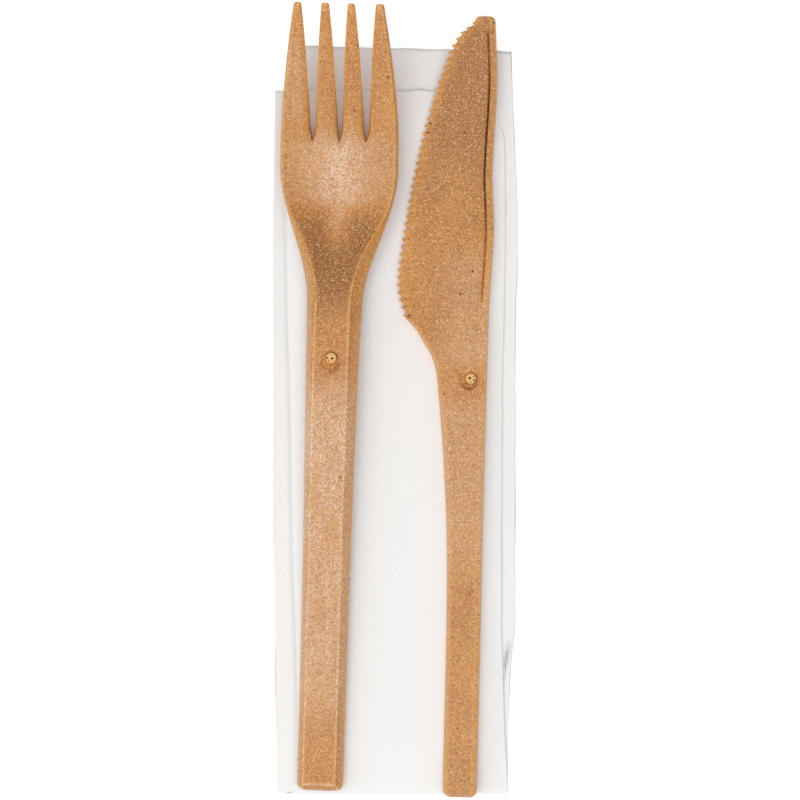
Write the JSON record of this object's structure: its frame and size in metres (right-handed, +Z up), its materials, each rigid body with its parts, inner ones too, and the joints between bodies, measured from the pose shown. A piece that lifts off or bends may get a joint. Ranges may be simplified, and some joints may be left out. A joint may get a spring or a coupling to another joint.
{
  "type": "disposable cutlery set on a folded napkin",
  "caption": "Disposable fork and serrated knife in wood-filled plastic, lying side by side on a folded paper napkin.",
  "frame": {"origin": "on the table under the middle of the set", "axes": "+Y from the handle ends to the tips, +X to the right with the fork on the left, +Z up"},
  "size_m": [0.0515, 0.1662, 0.0175],
  "materials": {
    "wood_filled_plastic": "moulded, satin, speckled with pale wood fibres and dark bran",
    "tissue_paper": "soft white tissue, matt"
  },
  "bodies": {
    "root": {"fork": "wood_filled_plastic", "knife": "wood_filled_plastic", "napkin": "tissue_paper"}
  },
  "joints": []
}
